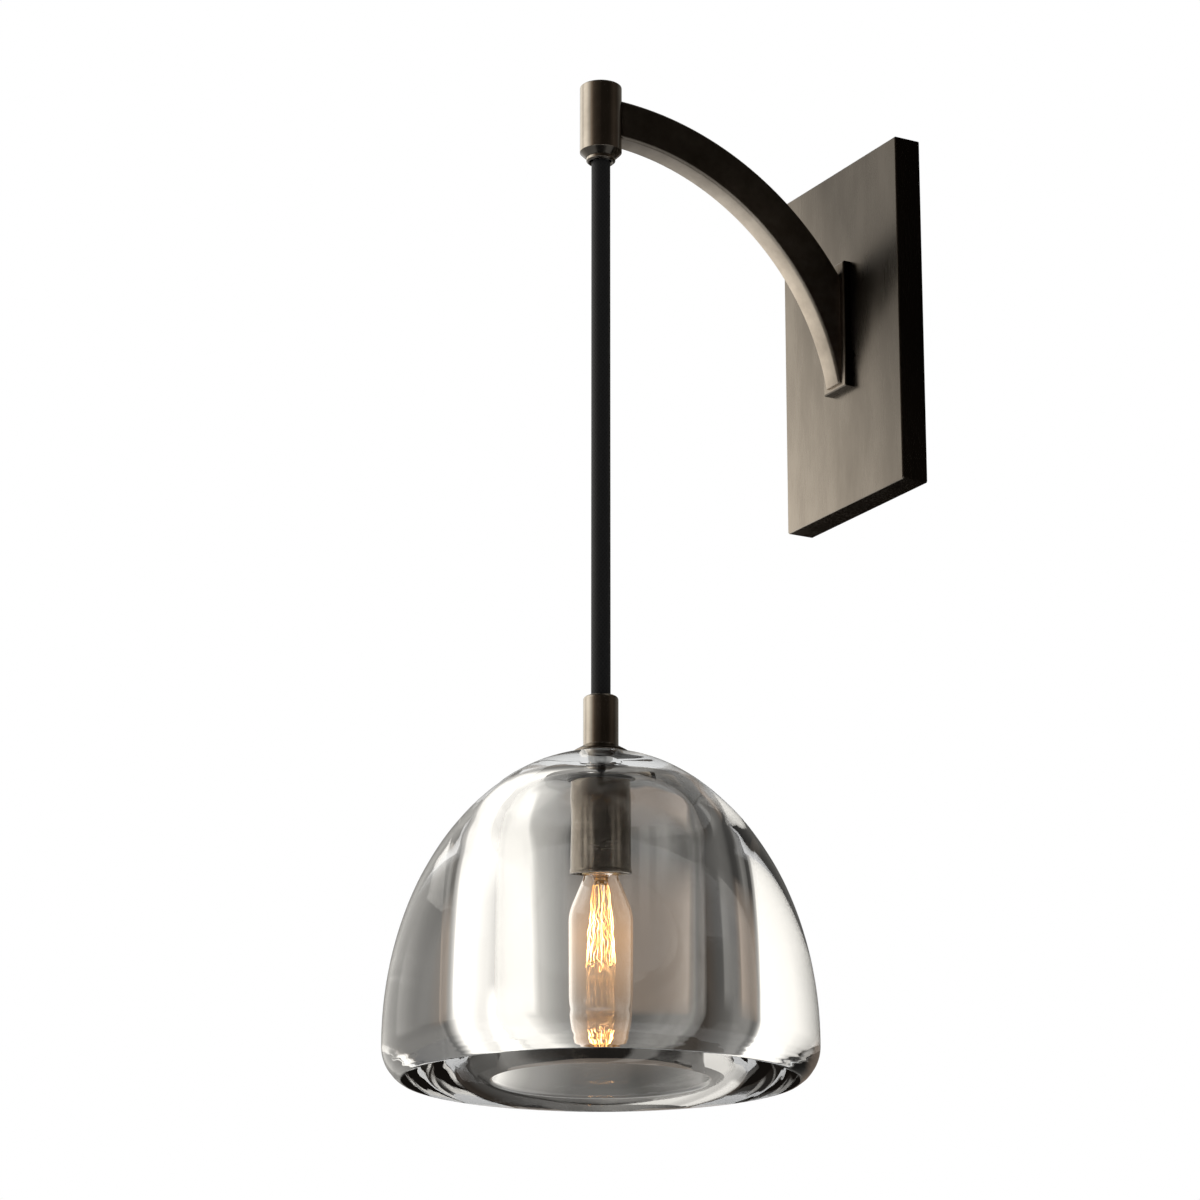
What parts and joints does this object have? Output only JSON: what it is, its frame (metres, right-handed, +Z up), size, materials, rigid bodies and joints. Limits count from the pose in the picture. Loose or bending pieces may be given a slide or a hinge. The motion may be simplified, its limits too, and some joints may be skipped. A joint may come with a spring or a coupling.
{
  "type": "hanging pendant wall sconce",
  "caption": "Wall sconce: a curved arm on a flat plate carries a solid glass dome on a black cord, with a tubular lamp inside.",
  "frame": {"origin": "centre of the wall bracket's two slots, on the wall plane, which is also the centre of the wall plate's back", "axes": "+Z up, +Y into the wall, -Y out into the room, +X to the right of someone who stands in the room and faces the wall"},
  "size_m": [0.1778, 0.2235, 0.4352],
  "materials": {
    "plate_bronze": "vertical brushed dark bronze",
    "pad_bronze": "brushed dark bronze",
    "arm_bronze": "brushed dark bronze along the arc",
    "hub_bronze": "turned and brushed dark bronze",
    "coupler_bronze": "turned and brushed dark bronze",
    "socket_bronze": "satin dark bronze",
    "zinc_steel": "zinc plate",
    "ground_green": "green passivate",
    "raw_brass": "turned",
    "cord_black": "black braided jacket",
    "wire_black": "insulation",
    "gasket_clear": "translucent",
    "shade_glass": "clear and polished",
    "socket_insulator": "moulded phenolic",
    "lamp_brass": "rolled",
    "lamp_insulator": "black glass",
    "bulb_glass": "clear and thin",
    "stem_glass": "clear",
    "filament_amber": "fine warm wire",
    "lead_nickel": "fine wire"
  },
  "bodies": {
    "base": {"backplate": "plate_bronze", "wall_bracket": "zinc_steel", "ground_screw": "ground_green", "plate_set_screws": "zinc_steel", "foot_screws": "zinc_steel", "foot_washers": "zinc_steel", "foot_pad": "pad_bronze", "arm": "arm_bronze", "hub": "hub_bronze", "hub_cap": "hub_bronze", "cord_grip": "hub_bronze", "upper_ferrule": "raw_brass", "cord_end": "cord_black", "arm_wires": "wire_black"},
    "cord_bend": {"cord_bend": "cord_black"},
    "cord": {"cord": "cord_black", "lower_ferrule": "raw_brass"},
    "pendant": {"coupler": "coupler_bronze", "nipple": "raw_brass", "shade_washer": "coupler_bronze", "upper_gasket": "gasket_clear", "glass_shade": "shade_glass", "lower_gasket": "gasket_clear", "crown_nut": "socket_bronze", "socket_cup": "socket_bronze", "socket_cap": "socket_insulator", "socket_body": "socket_insulator", "screw_shell": "raw_brass", "socket_wires": "wire_black"},
    "contact": {"centre_contact": "raw_brass"},
    "lamp": {"lamp_cap": "lamp_brass", "lamp_collar": "lamp_insulator", "lamp_eyelet": "lamp_brass", "bulb_glass": "bulb_glass", "lamp_stem": "stem_glass", "filament": "filament_amber", "filament_leads": "lead_nickel", "filament_hooks": "lead_nickel"}
  },
  "joints": [
    {"name": "swing_fore_aft", "type": "hinge", "parent": "base", "child": "cord_bend", "pos_m": [0, -0.1346, 0.0583], "axis": [1, 0, 0], "range_deg": [-20, 6]},
    {"name": "swing_sideways", "type": "hinge", "parent": "cord_bend", "child": "cord", "pos_m": [0, -0.1346, 0.0583], "axis": [0, 1, 0], "range_deg": [-20, 20]},
    {"name": "pendant_twist", "type": "hinge", "parent": "cord", "child": "pendant", "pos_m": [0, -0.1346, -0.1808], "axis": [0, 0, 1], "range_deg": [-90, 90]},
    {"name": "contact_slide", "type": "slide", "parent": "pendant", "child": "contact", "axis": [0, 0, -1], "range_m": [0, 0.002]},
    {"name": "lamp_turn", "type": "hinge", "parent": "contact", "child": "lamp", "pos_m": [0, -0.1346, -0.2707], "axis": [0, 0, -1], "range_deg": [0, 280]}
  ],
  "couplings": [
    {"joint": "contact_slide", "follows": "lamp_turn", "m_per_rad": 0.00040425}
  ]
}
